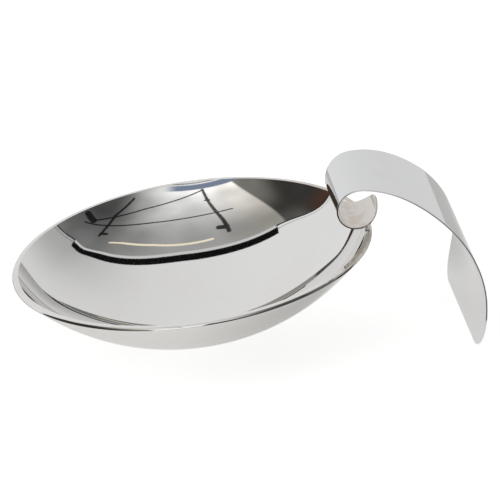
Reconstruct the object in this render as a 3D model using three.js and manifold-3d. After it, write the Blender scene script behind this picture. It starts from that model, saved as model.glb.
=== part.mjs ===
// Silver-plated footed bowl: a round shallow bowl, tilted, carried on one side by a sheet-metal strip
// that curls into a scroll on the rim, arches over and comes down to the table on its wide end.
// Millimetres, +Z up. The origin is where the bowl touches the table, right under the centre of its
// sphere. +X points along the table to the raised side of the rim, which carries the strip.
import * as THREE from "three";
import { mergeVertices } from "three/addons/utils/BufferGeometryUtils.js";
import Module from "manifold-3d";

const wasm = await Module();
wasm.setup();

// Driving dimensions: the bowl
const RIM_RADIUS = 135;
const BOWL_SPHERE_RADIUS = 179; // outer face of the spun wall
const BOWL_WALL = 1.1;
const BOWL_TILT = THREE.MathUtils.degToRad(7.7);
const REST_FLAT_DEPTH = 0.3; // how much of the round underside is rubbed flat where it stands

// Driving dimensions: the flat wire soldered on the bowl's edge
const LIP_WIDTH = 4.9;
const LIP_THICKNESS = 1.9;
const LIP_INNER_FILLET = 0.4;

// Driving dimensions: the strip's flat pattern
const STRIP_GAUGE = 1.1;
const TONGUE_WIDTH = 40; // width that the straight edges aim at, at the scroll's end
const FOOT_WIDTH = 170;
const TONGUE_LENGTH = 16.5; // rounded end inside the scroll
const FOOT_CORNER_RADIUS = 28;

// Driving dimensions: its bends, from the scroll's end to the foot. Each stretch runs evenly from
// the radius before it to the radius after it.
const SCROLL_END_RADIUS = 15.7;
const SCROLL_LENGTH = 74.5;
const SCROLL_NECK_RADIUS = 19;
const NECK_LENGTH = 8;
const SHOULDER_RADIUS = 60;
const SHOULDER_LENGTH = 46;
const CROWN_RADIUS = 118;
const CROWN_LENGTH = 75.8;
const KNEE_RADIUS = 66.5;
const SHIN_LENGTH = 42.7; // straightens out towards the foot

// Driving dimensions: how the strip stands on the lip
const STRIP_TURN = THREE.MathUtils.degToRad(3.5); // strip's own line against the bowl's
const SCROLL_OVERHANG = 1.9; // scroll's lowest line, inside the lip's edge at the strip's sides

// Driving dimensions: solder
const JOINT_GAP = 0.3; // clearance between two pieces that are soldered face to face
const SOLDER_SEAM = 1; // height of the strip's sides above the lip, filled by the solder run
const SOLDER_RADIUS = 1.9;

// Fineness of the round forms
const TURNS = 96;
const WALL_STEPS = 18;
const EDGE_STEPS = 6;
const STRIP_STEPS = 96;
const END_STEPS = 10;
const SEAT_POINTS = 25;
const SEAT_ROUNDS = 16;

const sphereInside = BOWL_SPHERE_RADIUS - BOWL_WALL;
const rimBelowCentre = Math.sqrt(BOWL_SPHERE_RADIUS ** 2 - RIM_RADIUS ** 2);
const lipTop = -rimBelowCentre + LIP_THICKNESS / 2;
const lipBottom = -rimBelowCentre - LIP_THICKNESS / 2;
const lipInside = RIM_RADIUS - LIP_WIDTH;
const bowlEdge = lipBottom - JOINT_GAP;

const bends = [
  { at: 0, radius: SCROLL_END_RADIUS },
  { at: SCROLL_LENGTH, radius: SCROLL_NECK_RADIUS },
];
for (const [length, radius] of [
  [NECK_LENGTH, SHOULDER_RADIUS],
  [SHOULDER_LENGTH, CROWN_RADIUS],
  [CROWN_LENGTH, KNEE_RADIUS],
  [SHIN_LENGTH, Infinity],
]) {
  bends.push({ at: bends.at(-1).at + length, radius });
}
const stripLength = bends.at(-1).at;

const silverPlate = (color, roughness) =>
  new THREE.MeshStandardMaterial({ color, roughness, metalness: 1 });

function toSolid(geometry) {
  const bare = geometry.index ? geometry.toNonIndexed() : geometry.clone();
  bare.deleteAttribute("normal");
  bare.deleteAttribute("uv");
  const merged = mergeVertices(bare, 1e-4);
  return new wasm.Manifold(
    new wasm.Mesh({
      numProp: 3,
      vertProperties: new Float32Array(merged.attributes.position.array),
      triVerts: new Uint32Array(merged.index.array),
    }),
  );
}

function toGeometry(solid) {
  const mesh = solid.getMesh();
  const geometry = new THREE.BufferGeometry();
  geometry.setAttribute(
    "position",
    new THREE.BufferAttribute(new Float32Array(mesh.vertProperties), 3),
  );
  geometry.setIndex(new THREE.BufferAttribute(new Uint32Array(mesh.triVerts), 1));
  geometry.computeVertexNormals();
  return geometry;
}

// A closed profile of [radius, height] pairs, anticlockwise, turned about +Z.
function turned(profile) {
  const points = profile.map(([radius, height]) => new THREE.Vector2(radius, height));
  return new THREE.LatheGeometry(points, TURNS).rotateX(Math.PI / 2);
}

// Points of an arc in the (radius, height) plane, ends included.
function arc(centre, radius, from, to, steps) {
  return Array.from({ length: steps + 1 }, (_, i) => {
    const angle = from + ((to - from) * i) / steps;
    return [centre[0] + radius * Math.cos(angle), centre[1] + radius * Math.sin(angle)];
  });
}

// The bowl stands on its sphere; its group turns about the sphere's centre.
const bowlCentre = new THREE.Vector3(0, 0, BOWL_SPHERE_RADIUS - REST_FLAT_DEPTH);
const bowlGroup = new THREE.Group();
bowlGroup.position.copy(bowlCentre);
bowlGroup.rotation.y = -BOWL_TILT;
bowlGroup.updateMatrixWorld(true);
const fromTable = bowlGroup.matrixWorld.clone().invert();

function bowlShell() {
  const down = -Math.PI / 2;
  const outerAngle = Math.asin(bowlEdge / BOWL_SPHERE_RADIUS);
  const innerAngle = Math.asin(bowlEdge / sphereInside);
  const outside = arc([0, 0], BOWL_SPHERE_RADIUS, down, outerAngle, WALL_STEPS);
  const inside = arc([0, 0], sphereInside, innerAngle, down, WALL_STEPS);
  outside[0][0] = 0;
  inside[WALL_STEPS][0] = 0;
  const wall = toSolid(turned([...outside, ...inside]));
  const underTable = new THREE.BoxGeometry(RIM_RADIUS, RIM_RADIUS, RIM_RADIUS);
  underTable.translate(0, 0, -RIM_RADIUS / 2).applyMatrix4(fromTable);
  return toGeometry(wall.subtract(toSolid(underTable)));
}

function rimWire() {
  const half = LIP_THICKNESS / 2;
  const nose = arc([RIM_RADIUS - half, -rimBelowCentre], half, -Math.PI / 2, Math.PI / 2, EDGE_STEPS);
  const fillet = LIP_INNER_FILLET;
  const upper = arc([lipInside + fillet, lipTop - fillet], fillet, Math.PI / 2, Math.PI, 3);
  const lower = arc([lipInside + fillet, lipBottom + fillet], fillet, Math.PI, 1.5 * Math.PI, 3);
  return turned([...nose, ...upper, ...lower, nose[0]]);
}

// Curvature of the strip at a distance along it, running evenly from one bend to the next.
function curvatureAt(s) {
  const next = Math.max(1, bends.findIndex((bend) => bend.at >= s));
  const [a, b] = [bends[next - 1], bends[next]];
  const share = (s - a.at) / (b.at - a.at);
  return (1 - share) / a.radius + share / b.radius;
}

// Middle line of the strip in its own plane, from the scroll's end, as it would lie unplaced.
function bentLine() {
  const step = stripLength / (STRIP_STEPS * 8);
  const line = [{ s: 0, x: 0, z: 0, heading: 0 }];
  for (let s = 0; s < stripLength - step / 2; s += step) {
    const last = line.at(-1);
    const middle = last.heading - (curvatureAt(s + step / 2) * step) / 2;
    line.push({
      s: s + step,
      x: last.x + step * Math.cos(middle),
      z: last.z + step * Math.sin(middle),
      heading: last.heading - curvatureAt(s + step / 2) * step,
    });
  }
  return line;
}

const stationOf = (line, s) => line[Math.round((s / stripLength) * (line.length - 1))];

function moved(line, turn, dx, dz) {
  const [c, n] = [Math.cos(turn), Math.sin(turn)];
  return line.map((p) => ({
    s: p.s,
    x: p.x * c - p.z * n + dx,
    z: p.x * n + p.z * c + dz,
    heading: p.heading + turn,
  }));
}

// Half width of the flat pattern: straight edges, a rounded tongue and two round foot corners.
function halfWidthAt(s) {
  const straight = (TONGUE_WIDTH + ((FOOT_WIDTH - TONGUE_WIDTH) * s) / stripLength) / 2;
  const inTongue = Math.max(0, 1 - s / TONGUE_LENGTH);
  const inCorner = Math.max(0, FOOT_CORNER_RADIUS - (stripLength - s));
  const corner = FOOT_CORNER_RADIUS - Math.sqrt(FOOT_CORNER_RADIUS ** 2 - inCorner ** 2);
  return straight * Math.sqrt(1 - inTongue ** 2) - corner;
}

// The strip's own frame: turned about the upright line through the lip's inner edge at its highest.
const seatOnAxis = new THREE.Vector3(lipInside, 0, lipTop).applyMatrix4(bowlGroup.matrixWorld);
const stripGroup = new THREE.Group();
stripGroup.position.set(seatOnAxis.x, 0, 0);
stripGroup.rotation.z = -STRIP_TURN;
stripGroup.updateMatrixWorld(true);
const toStrip = stripGroup.matrixWorld.clone().invert().multiply(bowlGroup.matrixWorld);

// The lip's inner top edge below the scroll, as far as the strip reaches to each side, seen in the
// strip's frame.
function edgeUnderStrip(reach) {
  return Array.from({ length: SEAT_POINTS }, (_, i) => {
    const angle = (((2 * i) / (SEAT_POINTS - 1) - 1) * reach) / lipInside;
    const point = new THREE.Vector3(Math.cos(angle) * lipInside, Math.sin(angle) * lipInside, lipTop);
    return point.applyMatrix4(toStrip);
  });
}

// Sets the scroll's lowest line beside the lip's edge, one solder seam above it, and turns the strip
// about that seat until its foot stands on the table. The lip is round, so the scroll comes nearest
// to it under the strip's two sides. Gives the placed line and the seat's distance along it.
function placedLine() {
  const clear = STRIP_GAUGE / 2 + SOLDER_SEAM;
  const bent = bentLine();
  const foot = bent.at(-1);
  const seat = new THREE.Vector2(0, seatOnAxis.z + clear);
  let lowest = stationOf(bent, (SCROLL_END_RADIUS * Math.PI) / 2);
  let line = bent;
  for (let round = 0; round < SEAT_ROUNDS; round += 1) {
    const edge = edgeUnderStrip(halfWidthAt(lowest.s - SCROLL_OVERHANG));
    seat.x = Math.min(...edge.map((e) => e.x)) - SCROLL_OVERHANG;
    const footHeight = (STRIP_GAUGE / 2) * Math.abs(Math.cos(line.at(-1).heading));
    const drop = Math.asin((footHeight - seat.y) / Math.hypot(foot.x - lowest.x, foot.z - lowest.z));
    const turn = drop - Math.atan2(foot.z - lowest.z, foot.x - lowest.x);
    const [placed] = moved([lowest], turn, 0, 0);
    line = moved(bent, turn, seat.x - placed.x, seat.y - placed.z);
    const scroll = line.filter((p) => p.s < SCROLL_LENGTH);
    const gaps = edge.map((e) => Math.min(...scroll.map((p) => Math.hypot(e.x - p.x, e.z - p.z))));
    seat.y += clear - Math.min(...gaps);
    lowest = stationOf(bent, scroll.reduce((a, b) => (b.z < a.z ? b : a)).s);
  }
  return { stripLine: line, seatStation: lowest.s - SCROLL_OVERHANG };
}

const { stripLine, seatStation } = placedLine();

// Stations of the strip's sections: close together round the tongue and the foot's corners.
function sectionStations() {
  const tongue = Array.from({ length: END_STEPS }, (_, i) => {
    return TONGUE_LENGTH * (1 - Math.cos(((i + 0.6) / END_STEPS) * (Math.PI / 2)));
  });
  const body = stripLength - TONGUE_LENGTH - FOOT_CORNER_RADIUS;
  const middle = Array.from({ length: STRIP_STEPS }, (_, i) => {
    return TONGUE_LENGTH + (body * i) / STRIP_STEPS;
  });
  const foot = Array.from({ length: END_STEPS + 1 }, (_, i) => {
    return stripLength - FOOT_CORNER_RADIUS * (1 - Math.sin((i / END_STEPS) * (Math.PI / 2)));
  });
  return [...tongue, ...middle, ...foot];
}

// The sheet itself: a four-cornered section carried along the line, closed at both ends.
function stripSheet() {
  const half = STRIP_GAUGE / 2;
  const positions = [];
  const stations = sectionStations();
  for (const s of stations) {
    const { x, z, heading } = stationOf(stripLine, s);
    const [nx, nz] = [-Math.sin(heading), Math.cos(heading)];
    const width = halfWidthAt(s);
    for (const [side, face] of [[-1, -1], [1, -1], [1, 1], [-1, 1]]) {
      positions.push(x + nx * half * face, width * side, z + nz * half * face);
    }
  }
  const faces = [0, 2, 1, 0, 3, 2];
  for (let i = 0; i < stations.length - 1; i += 1) {
    for (let k = 0; k < 4; k += 1) {
      const [a, b] = [4 * i + k, 4 * i + ((k + 1) % 4)];
      faces.push(a, b, a + 4, b, b + 4, a + 4);
    }
  }
  const last = 4 * (stations.length - 1);
  faces.push(last, last + 1, last + 2, last, last + 2, last + 3);
  const geometry = new THREE.BufferGeometry();
  geometry.setAttribute("position", new THREE.Float32BufferAttribute(positions, 3));
  geometry.setIndex(faces);
  geometry.computeVertexNormals();
  return geometry;
}

// Solder run along the lip under the scroll, ending in a bead beyond each edge of the strip.
function solderRun() {
  const reach = halfWidthAt(seatStation) + JOINT_GAP;
  const runRadius = lipInside + SOLDER_RADIUS;
  const run = new THREE.TorusGeometry(runRadius, SOLDER_RADIUS, 20, 3 * TURNS);
  const stretch = new THREE.BoxGeometry(lipInside, 2 * reach, 4 * SOLDER_RADIUS);
  stretch.translate(runRadius, 0, 0);
  const bead = (side) => {
    const ball = new THREE.SphereGeometry(SOLDER_RADIUS, 20, 14);
    return toSolid(ball.translate(runRadius, 0, 0).rotateZ(side * Math.asin(reach / runRadius)));
  };
  const lip = new THREE.BoxGeometry(4 * RIM_RADIUS, 4 * RIM_RADIUS, 4 * SOLDER_RADIUS);
  lip.translate(0, 0, JOINT_GAP - 2 * SOLDER_RADIUS);
  const rounded = toSolid(run).intersect(toSolid(stretch)).add(bead(-1)).add(bead(1));
  const onLip = rounded.subtract(toSolid(lip)).translate([0, 0, lipTop]);
  const seat = stationOf(stripLine, seatStation);
  const bend = 1 / curvatureAt(seatStation);
  const clear = bend + STRIP_GAUGE / 2 + JOINT_GAP;
  const eye = new THREE.CylinderGeometry(clear, clear, 2 * reach, TURNS);
  eye.translate(seat.x + bend * Math.sin(seat.heading), 0, seat.z - bend * Math.cos(seat.heading));
  return toGeometry(onLip.transform(toStrip.elements).subtract(toSolid(eye)));
}

const footedBowl = new THREE.Group();

const bowl = new THREE.Mesh(bowlShell(), silverPlate(0xd6d5d2, 0.06));
bowl.name = "bowl";
const rim = new THREE.Mesh(rimWire(), silverPlate(0xd2d0cc, 0.1));
rim.name = "rim_wire";
bowlGroup.add(bowl, rim);

const strip = new THREE.Mesh(stripSheet(), silverPlate(0xcfcfd0, 0.12));
strip.name = "scroll_strip_foot";
const solder = new THREE.Mesh(solderRun(), silverPlate(0xb9b2a6, 0.35));
solder.name = "scroll_solder";
stripGroup.add(strip, solder);

footedBowl.add(bowlGroup, stripGroup);

export default footedBowl;
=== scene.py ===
import bpy
import numpy as np
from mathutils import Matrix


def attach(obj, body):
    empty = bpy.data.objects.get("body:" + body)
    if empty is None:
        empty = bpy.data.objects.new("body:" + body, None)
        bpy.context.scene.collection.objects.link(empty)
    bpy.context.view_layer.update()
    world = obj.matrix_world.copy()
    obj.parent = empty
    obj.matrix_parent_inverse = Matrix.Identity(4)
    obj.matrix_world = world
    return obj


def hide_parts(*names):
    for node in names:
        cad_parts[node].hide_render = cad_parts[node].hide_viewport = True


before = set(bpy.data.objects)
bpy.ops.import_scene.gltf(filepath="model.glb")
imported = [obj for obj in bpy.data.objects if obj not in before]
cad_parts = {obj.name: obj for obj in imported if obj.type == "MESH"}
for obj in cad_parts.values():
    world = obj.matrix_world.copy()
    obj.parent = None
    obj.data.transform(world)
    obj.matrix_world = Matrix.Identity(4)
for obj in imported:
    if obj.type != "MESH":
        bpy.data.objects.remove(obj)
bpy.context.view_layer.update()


# Camera
# A long lens, a good two and a half metres away and slightly above the table, from the side on
# which the scroll's open end shows.
CAMERA_PLACE = (-0.35408, -2.37653, 1.05394)
CAMERA_DOWN = np.radians(22.402)
CAMERA_TURN = np.radians(-9.880)

lens = bpy.data.cameras.new("camera")
lens.sensor_width = 36.0
lens.lens = 252.0
lens.clip_end = 50.0
camera = bpy.data.objects.new("camera", lens)
camera.location = CAMERA_PLACE
camera.rotation_euler = (np.pi / 2 - CAMERA_DOWN, 0.0, CAMERA_TURN)
bpy.context.scene.collection.objects.link(camera)
bpy.context.scene.camera = camera
bpy.context.scene.view_settings.view_transform = "Standard"


# Studio
# A white table top in front of a tall pale cloth, which leans over the table and ends just short
# of overhead. Beyond its hem lies a dim room with one pale wall. Polished silver shows all of it.
class Socket:
    """A shader socket with arithmetic: an expression on sockets adds the Math nodes it needs."""

    def __init__(self, tree, value=None):
        self.tree = tree
        self.value = value

    def node(self, kind, inputs=None, output=0, **settings):
        """Adds a node, with its settings first and then its inputs, and gives one output."""
        made = self.tree.nodes.new(kind)
        for key, value in settings.items():
            setattr(made, key, value)
        for key, value in (inputs or {}).items():
            if isinstance(value, Socket):
                self.tree.links.new(value.value, made.inputs[key])
            else:
                made.inputs[key].default_value = value
        return Socket(self.tree, made.outputs[output])

    def math(self, operation, *others, flip=False):
        """A Math node on this socket and others, in that order or the other way round."""
        terms = [self, *others]
        if flip:
            terms.reverse()
        return self.node("ShaderNodeMath", dict(enumerate(terms)), operation=operation)

    def __add__(self, other):
        return self.math("ADD", other)

    def __radd__(self, other):
        return self.math("ADD", other, flip=True)

    def __sub__(self, other):
        return self.math("SUBTRACT", other)

    def __rsub__(self, other):
        return self.math("SUBTRACT", other, flip=True)

    def __mul__(self, other):
        return self.math("MULTIPLY", other)

    def __rmul__(self, other):
        return self.math("MULTIPLY", other, flip=True)

    def __truediv__(self, other):
        return self.math("DIVIDE", other)

    def rise(self, low, high):
        """0 below low, 1 above high, and smooth between them."""
        inputs = {"Value": self, "From Min": low, "From Max": high}
        return self.node("ShaderNodeMapRange", inputs, interpolation_type="SMOOTHSTEP")

    def fall(self, low, high):
        """1 below low, 0 above high, and smooth between them."""
        return 1 - self.rise(low, high)

    def between(self, low, full, ebb, high):
        """0 below low and above high, 1 from full to ebb, and smooth on both flanks."""
        return self.rise(low, full) * self.fall(ebb, high)

    def mix(self, low, high):
        """The colour low where this is 0 and high where it is 1."""
        inputs = {"Factor": self}
        inputs[6] = low if isinstance(low, Socket) else (*low, 1.0)
        inputs[7] = high if isinstance(high, Socket) else (*high, 1.0)
        return self.node("ShaderNodeMix", inputs, output=2, data_type="RGBA")


WHITE = (1.0, 1.0, 1.0)
world = bpy.data.worlds.new("studio")
bpy.context.scene.world = world
world.use_nodes = True
tree = world.node_tree
tree.nodes.clear()
start = Socket(tree)
sight = start.node("ShaderNodeTexCoord", output="Generated")
x, y, z = (start.node("ShaderNodeSeparateXYZ", {0: sight}, output=k) for k in (0, 1, 2))

# A direction as degrees from overhead: near is towards the camera's side, across to its right.
# Spans and places of the cloth and the room are in these degrees, and lights are shares of 1.
NO_ZERO = 1e-8
cos_turn, sin_turn = float(np.cos(CAMERA_TURN)), float(np.sin(CAMERA_TURN))
to_near = x * sin_turn - y * cos_turn
to_right = x * cos_turn + y * sin_turn
flat = (to_near * to_near + to_right * to_right + NO_ZERO).math("SQRT")
lean = z.math("ARCCOSINE") * (180 / np.pi)
near = lean * to_near / flat
across = lean * to_right / flat

# The hem's place at the far left, and its gain over each span of the way to the right: it comes
# nearest just left of the middle, draws back to both sides and comes nearer again at the right.
HEM_FAR_LEFT = -26.6
HEM_GAINS = ((11.0, -82, -46), (5.0, -58, -12), (-8.6, -8, 30), (5.0, 32, 48))
hem = HEM_FAR_LEFT + sum(gain * across.rise(*span) for gain, *span in HEM_GAINS)
past_hem = near - hem

# The cloth is lit from the left, and shaded on its right towards the hem.
CLOTH_LIGHT = 0.775
cloth = CLOTH_LIGHT - 0.09 * across.rise(-40, 40)
cloth = cloth - 0.27 * across.rise(4, 44) * near.rise(-66, -14)

# The room's pale wall ends at the left on a corner line that bows to the right. It is brighter
# towards the camera, dimmer to the right, and dark below the window.
WALL_CORNER = -46.8
WALL_BOW = 0.006
WALL_LIGHT = 0.26
wall_lit = (across - WALL_BOW * near * near - WALL_CORNER).rise(-1.0, 1.0)
right_dim = 1 - (0.7 + 0.26 * near.rise(0, 22)) * across.rise(-4, 38)
low_dim = 1 - 0.93 * near.rise(50.5, 52)
pale_wall = WALL_LIGHT + 0.57 * near.rise(-8, 42) + 0.3 * near.rise(37, 45)

# Left of the wall's corner a little light falls on the dark side of the room.
DARK_LIGHT = 0.034
dark_side = DARK_LIGHT + 0.17 * (1 - wall_lit) * across.rise(-62, -46) * near.rise(0, 34)
dark_side = dark_side + 0.06 * near.fall(-14, 8) * across.rise(-66, -54)

# Straight bars as (across, near) at both ends, and half their width: first the poles that carry
# the cloth, then the pale wooden batten.
POLES = (
    ((-15.0, 45.0), (-23.7, 0.0), 0.9),
    ((-19.6, 3.8), (-23.2, 2.8), 1.1),
    ((-17.9, 33.0), (-16.2, 33.4), 0.9),
    ((26.7, 37.5), (32.5, 20.0), 0.8),
    ((32.5, 20.0), (32.6, -1.7), 0.9),
    ((29.6, 0.8), (32.6, 0.6), 1.2),
    ((-14.0, 44.3), (16.7, 29.2), 0.6),
    ((16.7, 29.2), (44.0, 10.2), 0.65),
    ((-28.3, 18.0), (9.7, 13.4), 0.6),
    ((9.7, 13.4), (47.5, 6.5), 0.65),
    ((43.5, 10.5), (49.0, 13.5), 2.4),
)
BATTEN = (((24.2, -6.7), (6.7, -3.3), 0.55), ((6.7, -3.3), (-16.7, -1.9), 0.55))
BAR_BLUR = 0.2
POLE_SHADE = 0.92


def bar(first, last, half):
    """1 on a straight bar between two directions and 0 off it: the distance to the segment is set
    against half the bar's width."""
    (x0, y0), (x1, y1) = first, last
    dx, dy = x1 - x0, y1 - y0
    square = dx * dx + dy * dy
    run = (across - x0) * (dx / square) + (near - y0) * (dy / square)
    run = run.math("MAXIMUM", 0.0).math("MINIMUM", 1.0)
    off_x, off_y = across - x0 - run * dx, near - y0 - run * dy
    away = (off_x * off_x + off_y * off_y).math("SQRT")
    return away.fall(half - BAR_BLUR, half + BAR_BLUR)


def bars(rows):
    """1 on any of the bars and 0 off all of them."""
    return sum(bar(*row) for row in rows).math("MINIMUM", 1.0)


clear = 1 - POLE_SHADE * bars(POLES)
mottle = start.node("ShaderNodeTexNoise", {"Vector": sight, "Scale": 3.5, "Detail": 1.5})
mottle = 0.86 + 0.28 * mottle.rise(0.25, 0.75)
room = (dark_side + pale_wall * wall_lit * right_dim * low_dim) * clear * mottle

# In the middle the hem is a dark band with a bright slit beyond it, for which the cloth ends
# sooner by the band's depth. To both sides it runs on with a thin seam, and at the far right its
# upper part is dark.
BAND_ACROSS = (-42, -41, 43, 44.5)
SLIT = (1.9, 2.4, 3.4, 4.2)
SLIT_LIGHT = 0.62
SEAM_LINE = (0.4, 0.7, 0.9, 1.2)
CLOTH_END = 2.8
BAND_DEPTH = 4.9
LEAST_LIGHT = 0.006
banded = across.between(*BAND_ACROSS)
slit = past_hem.between(*SLIT) * banded
in_cloth = (past_hem - CLOTH_END + BAND_DEPTH * banded).fall(-0.2, 0.2)
in_cloth = in_cloth * (1 - 0.6 * past_hem.between(*SEAM_LINE) * (1 - banded))
in_cloth = in_cloth * (1 - across.rise(61, 65) * near.rise(-50, -44))
in_room = past_hem.rise(*SLIT[2:])
shade = cloth * in_cloth + slit * SLIT_LIGHT + room * in_room + LEAST_LIGHT

# Colours: the room's left is warm, the batten pale wood, and the window bluish with a bright pane
# below it. At the far left the room is brown beside the hem.
WARM_WHITE = (1.0, 0.96, 0.88)
PALE_WOOD = (0.95, 0.86, 0.66)
WINDOW_BLUE = (0.20, 0.245, 0.33)
WINDOW_NEAR, WINDOW_ACROSS = (45.4, 46.4, 50, 51), (-46, -34, 0, 12)
PANE_NEAR, PANE_ACROSS = (51.5, 53, 76, 79), (-38, -35, 0, 4)
CORNER_BROWN = (0.062, 0.036, 0.026)
tone = (in_room * across.fall(-40, -12)).mix(WHITE, WARM_WHITE)
grey = start.node("ShaderNodeCombineXYZ", {0: shade, 1: shade, 2: shade})
lit = start.node("ShaderNodeVectorMath", {0: tone, 1: grey}, operation="MULTIPLY")
lit = (bars(BATTEN) * in_room).mix(lit, PALE_WOOD)
lit = (near.between(*WINDOW_NEAR) * across.between(*WINDOW_ACROSS)).mix(lit, WINDOW_BLUE)
lit = (near.between(*PANE_NEAR) * across.between(*PANE_ACROSS)).mix(lit, WHITE)
lit = (in_room * across.fall(-70, -58) * near.fall(-14, -2)).mix(lit, CORNER_BROWN)
camera_sees = start.node("ShaderNodeLightPath", output="Is Camera Ray")
glow = start.node("ShaderNodeBackground", {"Color": camera_sees.mix(lit, WHITE)})
sky = tree.nodes.new("ShaderNodeOutputWorld")
tree.links.new(glow.value, sky.inputs["Surface"])

TABLE_SPAN = 1.4
corner = TABLE_SPAN / 2
table_mesh = bpy.data.meshes.new("white_table")
table_mesh.from_pydata(
    [(-corner, -corner, 0), (corner, -corner, 0), (corner, corner, 0), (-corner, corner, 0)],
    [],
    [(0, 1, 2, 3)],
)
table = bpy.data.objects.new("white_table", table_mesh)
bpy.context.scene.collection.objects.link(table)

# The camera sees the table white. The metal sees a painted glow of paper in soft light, with
# painted shade before and behind the strip and a little to the left, and dimmer away from the bowl.
# Spans are in metres.
PAPER_GREY = (0.5, 0.5, 0.495, 1.0)
PAPER_TINT = (1.0, 0.985, 0.96)
CAMERA_LIGHT = 0.79
TABLE_LIGHT = 0.49
paper = bpy.data.materials.new("white_paper")
paper.use_nodes = True
tree = paper.node_tree
tree.nodes.clear()
start = Socket(tree)
camera_sees = start.node("ShaderNodeLightPath", output="Is Camera Ray")
metal_sees = start.node("ShaderNodeLightPath", output="Is Glossy Ray")
matt = start.node("ShaderNodeBsdfDiffuse", {"Color": PAPER_GREY})
spot = start.node("ShaderNodeTexCoord", output="Object")
from_bowl = start.node("ShaderNodeVectorMath", {0: spot}, output="Value", operation="LENGTH")
x, y = (start.node("ShaderNodeSeparateXYZ", {0: spot}, output=k) for k in (0, 1))
lit_table = TABLE_LIGHT - 0.16 * x.between(-0.02, 0.12, 0.15, 0.21) * y.fall(-0.03, 0.03)
lit_table = lit_table - 0.26 * x.between(0.08, 0.15, 0.2, 0.26) * y.rise(0.04, 0.15)
lit_table = lit_table - 0.05 * x.fall(-0.12, -0.02) - 0.3 * from_bowl.rise(0.22, 0.45)
glow = camera_sees * CAMERA_LIGHT + metal_sees * lit_table
tint = camera_sees.mix(PAPER_TINT, WHITE)
lift = start.node("ShaderNodeEmission", {"Color": tint, "Strength": glow})
both = start.node("ShaderNodeAddShader", {0: matt, 1: lift})
out = tree.nodes.new("ShaderNodeOutputMaterial")
tree.links.new(both.value, out.inputs["Surface"])
table.data.materials.append(paper)

LAMP_AIM = (0.05, 0, 0.05)
LAMP_SIZE = 2.0


def lamp(name, place, power):
    """A square area lamp, turned to the object's middle, that polished metal doesn't mirror."""
    data = bpy.data.lights.new(name, "AREA")
    data.shape = "SQUARE"
    data.size = LAMP_SIZE
    data.energy = power
    made = bpy.data.objects.new(name, data)
    made.location = place
    way = np.subtract(LAMP_AIM, place)
    flat = np.hypot(way[0], way[1])
    made.rotation_euler = (np.arctan2(flat, -way[2]), 0.0, np.arctan2(way[1], way[0]) - np.pi / 2)
    made.visible_glossy = False
    bpy.context.scene.collection.objects.link(made)


lamp("key_light", place=(-1.3, -0.9, 1.8), power=12.0)
lamp("fill_light", place=(1.2, 0.5, 1.9), power=6.0)


# Bowl
# Spun from 1.1 mm sheet to part of a sphere, silver plated and polished to a mirror. It stands
# tilted on its round underside, which has worn a small flat.
RIM_RADIUS = 0.135
SPHERE_RADIUS = 0.179
WALL = 0.0011
TILT = np.radians(7.7)
FLAT_DEPTH = 0.0003
LIP_WIDTH = 0.0049
LIP_THICKNESS = 0.0019
CREST_RISE = 0.0005
LIP_SEAM = 0.0001
THICKENS_AT = 0.105
OUTSIDE_STEPS = 96
INSIDE_STEPS = 128
ROUND_STEPS = 384
ONE_POINT = 1e-7

# Heights are from the sphere's centre, on the bowl's own axis.
rim_drop = np.sqrt(SPHERE_RADIUS**2 - RIM_RADIUS**2)
sphere_centre = np.array([0.0, 0.0, SPHERE_RADIUS - FLAT_DEPTH])
lip_inside = RIM_RADIUS - LIP_WIDTH
lip_top = -rim_drop + LIP_THICKNESS / 2
lip_crest = lip_top + CREST_RISE
wall_edge = -rim_drop - LIP_THICKNESS / 2
face_edge = lip_inside - LIP_SEAM


def tilted(points):
    """Points about the bowl's own sphere centre, turned by the tilt and set over the table."""
    x, y, z = np.moveaxis(points, -1, 0)
    cos, sin = np.cos(TILT), np.sin(TILT)
    return np.stack([x * cos - z * sin, y, x * sin + z * cos], -1) + sphere_centre


def revolved(profile, turns):
    """Rows of (radius, height) carried round the upright axis: x = r cos a, y = r sin a, z = h."""
    angle = np.linspace(0, 2 * np.pi, turns, endpoint=False)
    radius, height = np.asarray(profile).T[..., None]
    flat = [radius * np.cos(angle), radius * np.sin(angle), height + 0 * angle]
    return np.stack(flat, -1)


def arc(centre, radius, start, end, steps):
    """Points of a circle's arc between two angles, both ends included."""
    angle = np.linspace(start, end, steps + 1)
    return np.stack([centre[0] + radius * np.cos(angle), centre[1] + radius * np.sin(angle)], -1)


def inner_face(radius):
    """Height of the bowl's inner face: a sphere, and from THICKENS_AT outwards a rise with the cube
    of the way to the lip, which brings the face up flush to the lip's inner edge."""
    sphere = -np.sqrt((SPHERE_RADIUS - WALL) ** 2 - radius**2)
    edge = -np.sqrt((SPHERE_RADIUS - WALL) ** 2 - face_edge**2)
    way = np.maximum(radius - THICKENS_AT, 0) / (face_edge - THICKENS_AT)
    return sphere + (lip_crest - LIP_SEAM - edge) * way**3


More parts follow.
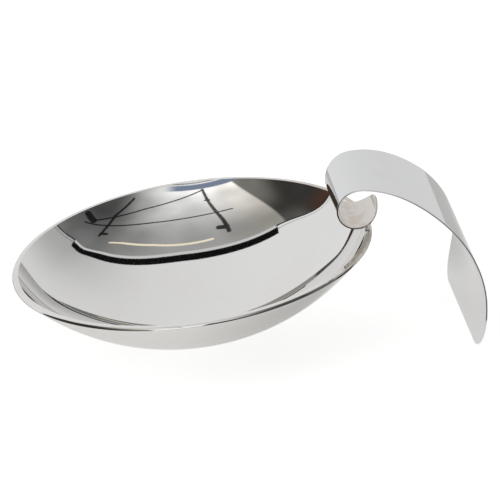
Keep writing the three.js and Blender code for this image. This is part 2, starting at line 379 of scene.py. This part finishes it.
def sheet_of(name, grid, material, loop=False, marks=None):
    """A mesh from a grid of points whose columns close on themselves. Rows that shrink to one
    point become poles, loop joins the last row to the first, and marks are values per point."""
    rows, cols = grid.shape[:2]
    span = np.linalg.norm(grid - grid[:, :1], axis=-1).max(1)
    pole = span < ONE_POINT
    counts = np.where(pole, 1, cols)
    first = np.concatenate([[0], np.cumsum(counts)[:-1]])
    index = first[:, None] + np.where(pole[:, None], 0, np.arange(cols))
    kept = np.arange(cols) < counts[:, None]
    if loop:
        index = np.concatenate([index, index[:1]])
    low, high = index[:-1], index[1:]
    quads = np.stack([low, np.roll(low, -1, 1), np.roll(high, -1, 1), high], -1).reshape(-1, 4)
    faces = [list(dict.fromkeys(quad)) for quad in quads.tolist()]
    mesh = bpy.data.meshes.new(name)
    mesh.from_pydata(grid[kept].tolist(), [], [face for face in faces if len(face) > 2])
    mesh.polygons.foreach_set("use_smooth", np.ones(len(mesh.polygons), bool))
    for mark, values in (marks or {}).items():
        held = mesh.attributes.new(mark, "FLOAT", "POINT")
        values = np.broadcast_to(values, (rows, cols))[kept]
        held.data.foreach_set("value", values.astype(np.float32))
    mesh.materials.append(material)
    mesh.update()
    made = bpy.data.objects.new(name, mesh)
    bpy.context.scene.collection.objects.link(made)
    return made


def wiped(spot, angle, tilt):
    """Hairline wiping marks that run one way: noise drawn out 40 times longer than wide, and only
    its crests kept."""
    turned = spot.node(
        "ShaderNodeMapping",
        {0: spot, "Rotation": (tilt, 0.4, angle), "Scale": (2600.0, 60.0, 900.0)},
    )
    streak = spot.node("ShaderNodeTexNoise", {"Vector": turned, "Scale": 1.0, "Detail": 1.0})
    return streak.rise(0.62, 0.74)


def polished(name, tint, stain, haze, scratch, clouds=1.0, stained=None):
    """Silver plate: a clean tint and a stained one that drifts over it in soft clouds, a haze that
    varies with the wiping, and crossing hairline scratches. stained gives more of the stain."""
    made = bpy.data.materials.new(name)
    made.use_nodes = True
    tree = made.node_tree
    tree.nodes.clear()
    start = Socket(tree)
    spot = start.node("ShaderNodeTexCoord", output="Object")
    cloud = start.node("ShaderNodeTexNoise", {"Vector": spot, "Scale": 22.0, "Detail": 5.0})
    smear = start.node(
        "ShaderNodeTexNoise", {"Vector": spot, "Scale": 75.0, "Detail": 4.0, "Distortion": 1.6}
    )
    marks = wiped(spot, 0.5, 0.2) + wiped(spot, 1.9, 1.1) + wiped(spot, 2.8, -0.6)
    patch = clouds * cloud.rise(0.46, 0.78) * (0.25 + 0.5 * smear.rise(0.3, 0.75))
    if stained:
        patch = patch + stained(start, spot, smear)
    colour = patch.math("MINIMUM", 1.0).mix(tint, stain)
    rough = haze * (0.65 + 0.7 * smear) + scratch * marks
    bump = start.node(
        "ShaderNodeBump",
        {"Height": smear * 0.4 - marks * 0.5, "Strength": 0.12, "Distance": 0.00001},
    )
    shader = start.node(
        "ShaderNodeBsdfPrincipled",
        {"Base Color": colour, "Metallic": 1.0, "Roughness": rough, "Normal": bump},
    )
    out = tree.nodes.new("ShaderNodeOutputMaterial")
    tree.links.new(shader.value, out.inputs["Surface"])
    return made


outside_end = np.arcsin(wall_edge / SPHERE_RADIUS)
outside = arc((0, 0), SPHERE_RADIUS, -np.pi / 2, outside_end, OUTSIDE_STEPS)
inner_radii = face_edge * np.sin(np.linspace(np.pi / 2, 0, INSIDE_STEPS + 1))
inside = np.stack([inner_radii, inner_face(inner_radii)], -1)
outside[0, 0] = inside[-1, 0] = 0
shell = tilted(revolved(np.concatenate([outside, inside]), ROUND_STEPS))
shell[..., 2] = np.maximum(shell[..., 2], 0)
bowl_silver = polished(
    "bowl_silver", tint=(0.885, 0.88, 0.872), stain=(0.85, 0.83, 0.79), haze=0.018, scratch=0.03
)
bowl = sheet_of("bowl_shell", shell, bowl_silver)
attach(bowl, "root")
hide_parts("bowl")


# Lip
# A flat wire with a half-round outer edge, bent to a ring and soldered on the bowl's edge. Its top
# is nearly level, falls over a soft shoulder to a rounded bevel, and turns under the nose.
LIP_EASE = 0.0001
EASE_STEPS = 4
# Stretches of the wire's outline from its inner edge: length in millimetres, and slope in degrees
# before and after.
LIP_OUTLINE = ((3.3, 1, 6), (0.4, 6, 42), (2.0, 42, 74), (0.35, 74, 105), (0.25, 105, 178))
STRETCH_STEPS = 12
METRE = 1000  # in millimetres


def outline_of(stretches, start):
    """Points of a line whose slope turns evenly within each stretch:
    radius and height are the sums of cos(slope) and -sin(slope) along it."""
    steps = [np.linspace(a, b, STRETCH_STEPS, endpoint=False) for _, a, b in stretches]
    slope = np.radians(np.concatenate(steps))
    length = [stretch[0] / (METRE * STRETCH_STEPS) for stretch in stretches]
    length = np.repeat(length, STRETCH_STEPS)
    run = np.stack([length * np.cos(slope), -length * np.sin(slope)], -1)
    return np.concatenate([[start], start + np.cumsum(run, 0)])


def lip_warm_tint(start, spot, smear):
    """A warm, darker tint that thickens along the lip towards the soldered scroll."""
    x = start.node("ShaderNodeSeparateXYZ", {0: spot}, output="X")
    return x.rise(0.085, 0.13) * (0.45 + 0.55 * smear.rise(0.35, 0.6))


eased = lip_inside + LIP_EASE
crown = outline_of(LIP_OUTLINE, np.array([eased, lip_crest]))
lip_low = crown[-1, 1]
upper = arc((eased, lip_crest - LIP_EASE), LIP_EASE, np.pi / 2, np.pi, EASE_STEPS)[1:]
lower = arc((eased, lip_low + LIP_EASE), LIP_EASE, np.pi, 1.5 * np.pi, EASE_STEPS)
ring = tilted(revolved(np.concatenate([crown[::-1], upper, lower]), ROUND_STEPS))
lip_silver = polished(
    "lip_silver",
    tint=(0.89, 0.88, 0.865),
    stain=(0.68, 0.62, 0.55),
    haze=0.03,
    scratch=0.05,
    clouds=0.5,
    stained=lip_warm_tint,
)
lip = sheet_of("lip_ring", ring, lip_silver, loop=True)
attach(lip, "root")
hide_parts("rim_wire")


# Strip
# One tapering piece of 1.1 mm sheet. Its narrow tongue is rolled into the scroll that sits on the
# lip, and its wide end stands on the table.
GAUGE = 0.0011
TONGUE_WIDTH = 0.040
FOOT_WIDTH = 0.170
TONGUE_LENGTH = 0.0165
FOOT_CORNER = 0.028
STRETCHES = (0.0745, 0.008, 0.046, 0.0758, 0.0427)
BEND_RADII = (0.0157, 0.019, 0.060, 0.118, 0.0665, np.inf)
TURN = np.radians(3.5)
SEAM = 0.001
OVERHANG = 0.0019
EDGE_ROUND = 0.00025
BEND_STEPS = 2400
SEAT_POINTS = 25
SEAT_ROUNDS = 16

# The bent middle line, from the scroll's end: its curvature runs evenly over each stretch.
stations = np.concatenate([[0], np.cumsum(STRETCHES)])
strip_length = stations[-1]
along = np.linspace(0, strip_length, BEND_STEPS + 1)
step = along[1]
curl = np.interp(along[:-1] + step / 2, stations, 1 / np.array(BEND_RADII))
heading = np.concatenate([[0], -np.cumsum(curl * step)])
middle = heading[:-1] - curl * step / 2
moves = np.stack([step * np.cos(middle), step * np.sin(middle)])
bent = np.concatenate([np.zeros((2, 1)), np.cumsum(moves, 1)], 1)
seat_post = tilted(np.array([lip_inside, 0, lip_top]))


def half_width(s):
    """Half the flat pattern's width: straight edges, less the round tongue and foot corners."""
    straight = (TONGUE_WIDTH + (FOOT_WIDTH - TONGUE_WIDTH) * s / strip_length) / 2
    tongue = np.maximum(0, 1 - s / TONGUE_LENGTH)
    corner = np.clip(FOOT_CORNER - (strip_length - s), 0, FOOT_CORNER)
    return straight * np.sqrt(1 - tongue**2) - (FOOT_CORNER - np.sqrt(FOOT_CORNER**2 - corner**2))


def turned(points):
    """Points in the strip's own frame, turned about the seat and set in the object's frame."""
    x, y, z = np.moveaxis(points, -1, 0)
    cos, sin = np.cos(TURN), np.sin(TURN)
    return np.stack([x * cos + y * sin + seat_post[0], y * cos - x * sin, z], -1)


def lip_edge(reach):
    """The lip's inner top edge, as far as the strip reaches to each side, in the strip's frame."""
    angle = np.linspace(-1, 1, SEAT_POINTS) * reach / lip_inside
    x, y = lip_inside * np.cos(angle), lip_inside * np.sin(angle)
    edge = tilted(np.stack([x, y, np.full(SEAT_POINTS, lip_top)], -1))
    x, y = edge[:, 0] - seat_post[0], edge[:, 1]
    return x * np.cos(TURN) - y * np.sin(TURN), edge[:, 2]


# Each round swings the strip about its seat until the foot's edge is on the table, and lifts the
# seat until the scroll clears the lip's edge by the seam. low is the scroll's lowest point.
seat_height = seat_post[2] + GAUGE / 2 + SEAM
low = np.argmin(np.abs(along - BEND_RADII[0] * np.pi / 2))
scroll = along < stations[1]
line, facing = bent, heading
for _ in range(SEAT_ROUNDS):
    edge_x, edge_z = lip_edge(half_width(along[low] - OVERHANG))
    seat = np.array([edge_x.min() - OVERHANG, seat_height])
    to_foot = bent[:, -1] - bent[:, low]
    foot_height = GAUGE / 2 * abs(np.cos(facing[-1]))
    swing = np.arcsin((foot_height - seat_height) / np.hypot(*to_foot)) - np.arctan2(*to_foot[::-1])
    spin = np.array([[np.cos(swing), -np.sin(swing)], [np.sin(swing), np.cos(swing)]])
    line = spin @ bent
    line = line + (seat - line[:, low])[:, None]
    facing = heading + swing
    gap = np.hypot(edge_x[:, None] - line[0, scroll], edge_z[:, None] - line[1, scroll]).min()
    seat_height += GAUGE / 2 + SEAM - gap
    low = np.argmin(np.where(scroll, line[1], 1.0))

# Cuts along the strip, closer together where the tongue and the foot's corners are round.
TONGUE_CUTS = 27
TONGUE_START = 0.04
BODY_CUTS = 320
FOOT_CUTS = 33
BREADTH_CUTS = 40
CORNER_STEPS = 4
tongue_turn = np.linspace(TONGUE_START, 1, TONGUE_CUTS, endpoint=False) * np.pi / 2
foot_turn = np.linspace(0, 1, FOOT_CUTS) * np.pi / 2
body_end = strip_length - FOOT_CORNER
tongue_s = TONGUE_LENGTH * (1 - np.cos(tongue_turn))
body_s = np.linspace(TONGUE_LENGTH, body_end, BODY_CUTS, endpoint=False)
foot_s = strip_length - FOOT_CORNER * (1 - np.sin(foot_turn))
cuts = np.concatenate([tongue_s, body_s, foot_s])
breadth = np.linspace(-1, 1, BREADTH_CUTS + 1)[-2:0:-1]
quarter = arc((0, 0), 1, 0, np.pi / 2, CORNER_STEPS)


def section(width):
    """The strip's cross-section at a half width as (sideways, through the sheet): right edge, top
    face, left edge and bottom face, with a small quarter circle at each corner."""
    flat = width - EDGE_ROUND
    corner = EDGE_ROUND * quarter + (flat, GAUGE / 2 - EDGE_ROUND)
    right = np.concatenate([(corner * (1, -1))[::-1], corner])
    left = (right * (-1, 1))[::-1]
    top = np.stack([flat * breadth, np.full(breadth.size, GAUGE / 2)], -1)
    return np.concatenate([right, top, left, top[::-1] * (1, -1)])


sections = np.stack([section(width) for width in half_width(cuts)])
sideways, through = sections[..., 0], sections[..., 1]
cut_x, cut_z, slope = (np.interp(cuts, along, v)[:, None] for v in (*line, facing))
skin_x, skin_z = cut_x - np.sin(slope) * through, cut_z + np.cos(slope) * through
skin = np.stack([skin_x, sideways, skin_z], -1)
tip, end = (np.broadcast_to(row.mean(0), row.shape)[None] for row in (skin[0], skin[-1]))
cut_marks = np.concatenate([cuts[:1], cuts, cuts[-1:]])[:, None]
face_marks = (through < 0).astype(float)
face_marks = np.concatenate([face_marks[:1], face_marks, face_marks[-1:]])


def scroll_stain(start, spot, smear):
    """Warm tarnish on the strip's inner face in the scroll, thickest where polish can't reach."""
    inner = start.node("ShaderNodeAttribute", attribute_name="inner", output="Fac")
    place = start.node("ShaderNodeAttribute", attribute_name="along", output="Fac")
    wisps = place.between(0.008, 0.03, 0.045, 0.085) * (0.1 + 0.8 * smear.rise(0.42, 0.62))
    return inner * (0.5 * place.fall(0.06, 0.09) + wisps)


strip_silver = polished(
    "strip_silver",
    tint=(0.84, 0.845, 0.855),
    stain=(0.69, 0.615, 0.54),
    haze=0.04,
    scratch=0.07,
    clouds=0.2,
    stained=scroll_stain,
)
strip = sheet_of(
    "scroll_strip",
    turned(np.concatenate([tip, skin, end])),
    strip_silver,
    marks={"along": cut_marks, "inner": face_marks},
)
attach(strip, "root")
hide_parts("scroll_strip_foot")


# Solder
# A run of silver solder on the lip under the scroll. It was drawn along the joint with the torch
# and ends in a small bead beyond each edge of the strip.
SOLDER_RADIUS = 0.0019
PAST_EDGE = 0.0003
BEAD_LENGTH = 0.0016
SUNK = 0.0001
RUN_STEPS = 121
TUBE_STEPS = 24
run_radius = lip_inside + SOLDER_RADIUS
reach = half_width(along[low] - OVERHANG) + PAST_EDGE
end_angle = (reach + SOLDER_RADIUS) / run_radius


def solder_run(steps, turns):
    """A tube bent along the lip: its radius is a gentle ripple, swells to a ball at both ends, and
    its underside is pressed flat on the lip."""
    t = np.sin(np.linspace(-np.pi / 2, np.pi / 2, steps))
    from_end = (1 - np.abs(t)) * end_angle * run_radius
    ball = np.sqrt(np.clip(1 - (1 - np.minimum(from_end / SOLDER_RADIUS, 1)) ** 2, 0, 1))
    ripple = 0.84 + 0.04 * np.sin(31 * t) + 0.03 * np.sin(53 * t + 1)
    bead = np.exp(-(((from_end - SOLDER_RADIUS) / BEAD_LENGTH) ** 2))
    size = SOLDER_RADIUS * ball * (ripple + (1.0 - ripple) * bead)
    turn = np.linspace(0, 2 * np.pi, turns, endpoint=False)
    out = run_radius + size[:, None] * np.cos(turn)
    up = np.maximum(size[:, None] * np.sin(turn), -SUNK * ball[:, None])
    angle = (t * end_angle)[:, None]
    return np.stack([out * np.cos(angle), out * np.sin(angle), lip_top + up], -1)


solder_silver = polished(
    "dull_solder", tint=(0.86, 0.84, 0.80), stain=(0.68, 0.60, 0.50), haze=0.42, scratch=0.1
)
solder = sheet_of("solder_run", tilted(solder_run(RUN_STEPS, TUBE_STEPS)), solder_silver)
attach(solder, "root")
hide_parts("scroll_solder")
